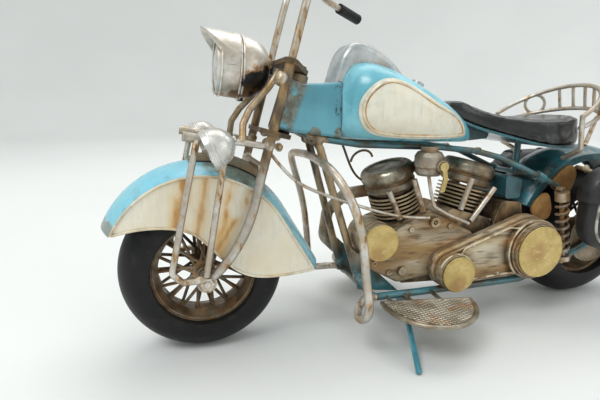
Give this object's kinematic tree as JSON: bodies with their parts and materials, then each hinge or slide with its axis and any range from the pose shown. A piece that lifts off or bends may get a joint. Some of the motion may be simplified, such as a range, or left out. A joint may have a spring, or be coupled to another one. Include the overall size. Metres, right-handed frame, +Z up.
{
  "type": "tin display motorcycle",
  "caption": "Handmade tinplate model of a vintage V-twin cruiser motorcycle with steering fork, free wheels, tilting lamps and side stand.",
  "frame": {"origin": "on the ground below the middle of the bike, midway between the wheels", "axes": "+X towards the rear wheel, +Y towards the bike's right side, +Z up"},
  "size_m": [0.3202, 0.1402, 0.1895],
  "materials": {
    "bag": "black leather with pale piping",
    "brass": "dull brass-yellow with brown stain",
    "cast": "dull grey metal with dark grime in corners",
    "cream": "cream enamel with rust at its edges",
    "dash": "pale silver-blue paint, rubbed",
    "glass": "clear, slightly yellowed",
    "painted": "pale blue enamel, chipped and rust-stained",
    "red": "red lens",
    "rubber": "black rubber",
    "rust": "worn steel with a film of rust",
    "seat": "dark grey leather, soft sheen",
    "steel": "dull steel with brown patina",
    "tyre": "smooth black rubber",
    "wire": "dark wire covering"
  },
  "bodies": {
    "frame": {"carburettor": "cast", "control_cable": "wire", "crankcase": "cast", "crash_bar": "rust", "cylinder_heads": "cast", "cylinders": "cast", "dash_console": "dash", "engine_side_cover": "cast", "exhaust_pipe": "steel", "footboards": "cast", "fuel_pipe": "brass", "fuel_tank": "painted", "gearbox": "cast", "generator": "cast", "left_saddlebag": "bag", "main_frame": "painted", "neck_cover": "painted", "oil_tank": "painted", "passenger_rail": "steel", "plug_wires": "wire", "primary_cover": "cast", "pushrod_tubes": "steel", "rear_axle": "steel", "rear_fender": "painted", "rear_springs": "steel", "right_saddlebag": "bag", "round_caps": "brass", "seat_cushion": "seat", "seat_pan": "painted", "shock_rods": "steel", "spring_covers": "rust", "tail_lamp": "cast", "tail_lamp_glass": "red", "tank_panels": "cream"},
    "fork": {"fork_legs": "rust", "handlebar": "rust", "handlebar_grips": "rubber", "steering_stem": "steel", "upper_yoke": "steel", "leaf_spring": "rust", "front_fender": "painted", "fender_skirts": "painted", "headlamp_bucket": "painted", "headlamp_rim": "cast", "headlamp_glass": "glass", "headlamp_stays": "rust", "fork_struts": "steel", "front_axle": "steel"},
    "front_wheel": {"front_tyre": "tyre", "front_rim": "cast", "front_hub": "cast"},
    "rear_wheel": {"rear_tyre": "tyre", "rear_rim": "cast", "rear_hub": "cast"},
    "left_lamp": {"left_spot_lamp": "painted", "left_spot_glass": "glass"},
    "right_lamp": {"right_spot_lamp": "painted", "right_spot_glass": "glass"},
    "side_stand": {"kickstand": "steel"},
    "fuel_tap": {"fuel_tap_lever": "brass"}
  },
  "joints": [
    {"name": "steering", "type": "hinge", "parent": "frame", "child": "fork", "pos_m": [-0.0654, 0, 0.131], "axis": [0.274, 0, 0.9617], "range_deg": [-30, 30]},
    {"name": "front_wheel_spin", "type": "hinge", "parent": "fork", "child": "front_wheel", "pos_m": [-0.115, 0, 0.04], "axis": [0, 1, 0], "continuous": true},
    {"name": "rear_wheel_spin", "type": "hinge", "parent": "frame", "child": "rear_wheel", "pos_m": [0.115, 0, 0.04], "axis": [0, 1, 0], "continuous": true},
    {"name": "side_stand_fold", "type": "hinge", "parent": "frame", "child": "side_stand", "pos_m": [-0.0136, -0.023, 0.0158], "axis": [0, -0.3419, 0.9397], "range_deg": [0, 100]},
    {"name": "left_lamp_tilt", "type": "hinge", "parent": "fork", "child": "left_lamp", "pos_m": [-0.108, -0.022, 0.104], "axis": [0, 1, 0], "range_deg": [-20, 20]},
    {"name": "right_lamp_tilt", "type": "hinge", "parent": "fork", "child": "right_lamp", "pos_m": [-0.108, 0.022, 0.104], "axis": [0, 1, 0], "range_deg": [-20, 20]},
    {"name": "fuel_tap_turn", "type": "hinge", "parent": "frame", "child": "fuel_tap", "pos_m": [0.0012, -0.024, 0.0886], "axis": [0, 1, 0], "range_deg": [-35, 35]}
  ]
}
